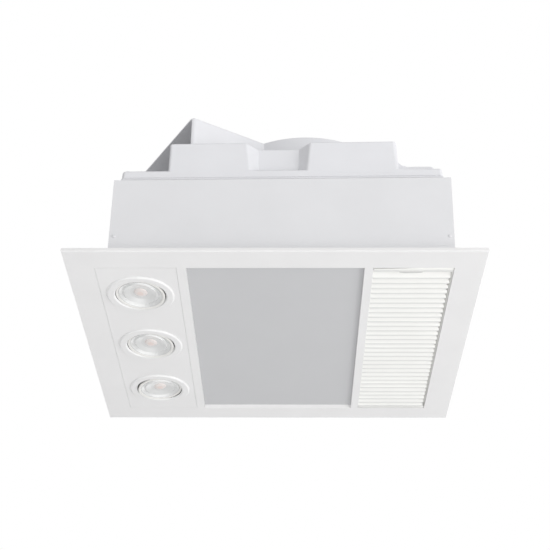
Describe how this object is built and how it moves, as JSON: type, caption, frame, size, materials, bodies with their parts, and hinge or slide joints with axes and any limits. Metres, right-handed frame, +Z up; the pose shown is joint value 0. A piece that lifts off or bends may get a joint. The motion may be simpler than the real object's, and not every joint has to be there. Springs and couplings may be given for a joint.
{
  "type": "bathroom heater exhaust fan",
  "caption": "Ceiling bathroom unit with frosted radiant heater window, tilting downlights, hinged louvre exhaust grille and a ducted centrifugal fan.",
  "frame": {"origin": "centre of the four ceiling screw holes, in the ceiling plane (upper face of the body's flange)", "axes": "+Z up into the ceiling void, normal to the ceiling; +X along the fascia's long side, from the downlights towards the grille; -Y towards the viewer of the picture"},
  "size_m": [0.5, 0.444, 0.2528],
  "materials": {
    "white_steel": "satin powder coat",
    "white_cover": "satin moulded white",
    "white_fascia": "satin white",
    "white_lamp_trim": "satin white",
    "grille_white": "satin warm white",
    "white_moulding": "satin",
    "frosted_glass": "frosted",
    "clear_lens": "clear, faceted",
    "quartz": "clear quartz",
    "grey_plastic": "satin",
    "zinc_steel": "zinc plated",
    "spring_steel": "bright",
    "polished_aluminium": "polished",
    "cast_aluminium": "cast",
    "bearing_bronze": "sintered",
    "black_plastic": "satin",
    "ceramic": "unglazed ceramic",
    "led_phosphor": "matte"
  },
  "bodies": {
    "body": {"body_front": "white_steel", "body_rear": "white_steel", "body_left": "white_steel", "body_right": "white_steel", "body_rivets": "white_steel", "top_cover": "white_cover", "cover_screws": "zinc_steel", "scroll_housing": "white_cover", "scroll_base": "white_moulding", "inlet_ring": "zinc_steel", "scroll_screws": "zinc_steel", "motor_housing": "zinc_steel", "motor_stator": "zinc_steel", "motor_bushes": "bearing_bronze", "motor_screws": "zinc_steel", "damper_pin": "zinc_steel", "run_capacitor": "white_moulding", "junction_box": "white_steel", "junction_lid": "white_steel", "terminal_block": "grey_plastic", "cable_gland": "black_plastic", "gland_nut": "black_plastic", "led_driver": "white_moulding", "heat_shield": "zinc_steel", "heater_reflector": "polished_aluminium", "reflector_brackets": "zinc_steel", "quartz_lamp_left": "quartz", "quartz_lamp_right": "quartz", "lamp_holders": "ceramic", "thermal_cutout": "black_plastic", "clip_keepers": "zinc_steel"},
    "impeller": {"impeller": "white_moulding", "motor_rotor": "zinc_steel", "motor_shaft": "zinc_steel", "impeller_nut": "zinc_steel"},
    "damper": {"damper_flap": "grey_plastic"},
    "fascia": {"fascia_frame": "white_fascia", "heater_glass": "frosted_glass", "glass_clips": "spring_steel", "led_plate": "white_fascia", "fascia_clips": "spring_steel", "lamp_ring_1": "white_lamp_trim", "lamp_ring_2": "white_lamp_trim", "lamp_ring_3": "white_lamp_trim", "lamp_pivot_pins": "zinc_steel", "lamp_spring_clips": "spring_steel", "grille_pins": "zinc_steel"},
    "lamp_1": {"lamp_gimbal_1": "white_lamp_trim", "lamp_lens_1": "clear_lens", "led_board_1": "led_phosphor", "lamp_heatsink_1": "cast_aluminium"},
    "lamp_2": {"lamp_gimbal_2": "white_lamp_trim", "lamp_lens_2": "clear_lens", "led_board_2": "led_phosphor", "lamp_heatsink_2": "cast_aluminium"},
    "lamp_3": {"lamp_gimbal_3": "white_lamp_trim", "lamp_lens_3": "clear_lens", "led_board_3": "led_phosphor", "lamp_heatsink_3": "cast_aluminium"},
    "grille": {"exhaust_grille": "grille_white"}
  },
  "joints": [
    {"name": "impeller_spin", "type": "hinge", "parent": "body", "child": "impeller", "pos_m": [0.027, -0.009, 0.19], "axis": [0, 0, 1], "continuous": true},
    {"name": "damper_swing", "type": "hinge", "parent": "body", "child": "damper", "pos_m": [-0.08725, -0.07273, 0.232], "axis": [-0.5045, 0.8634, 0], "range_deg": [0, 78]},
    {"name": "fascia_drop", "type": "slide", "parent": "body", "child": "fascia", "axis": [0, 0, -1], "range_m": [0, 0.048]},
    {"name": "grille_open", "type": "hinge", "parent": "fascia", "child": "grille", "pos_m": [0.1578, 0.186, -0.0024], "axis": [1, 0, 0], "range_deg": [0, 88]},
    {"name": "lamp_1_tilt", "type": "hinge", "parent": "fascia", "child": "lamp_1", "pos_m": [-0.175, -0.124, 0.002], "axis": [0.6428, -0.766, 0], "range_deg": [-15.5, 24.5]},
    {"name": "lamp_2_tilt", "type": "hinge", "parent": "fascia", "child": "lamp_2", "pos_m": [-0.175, 0.0023, 0.002], "axis": [0.6428, -0.766, 0], "range_deg": [-15.5, 24.5]},
    {"name": "lamp_3_tilt", "type": "hinge", "parent": "fascia", "child": "lamp_3", "pos_m": [-0.175, 0.1286, 0.002], "axis": [0, 1, 0], "range_deg": [-15, 25]}
  ]
}
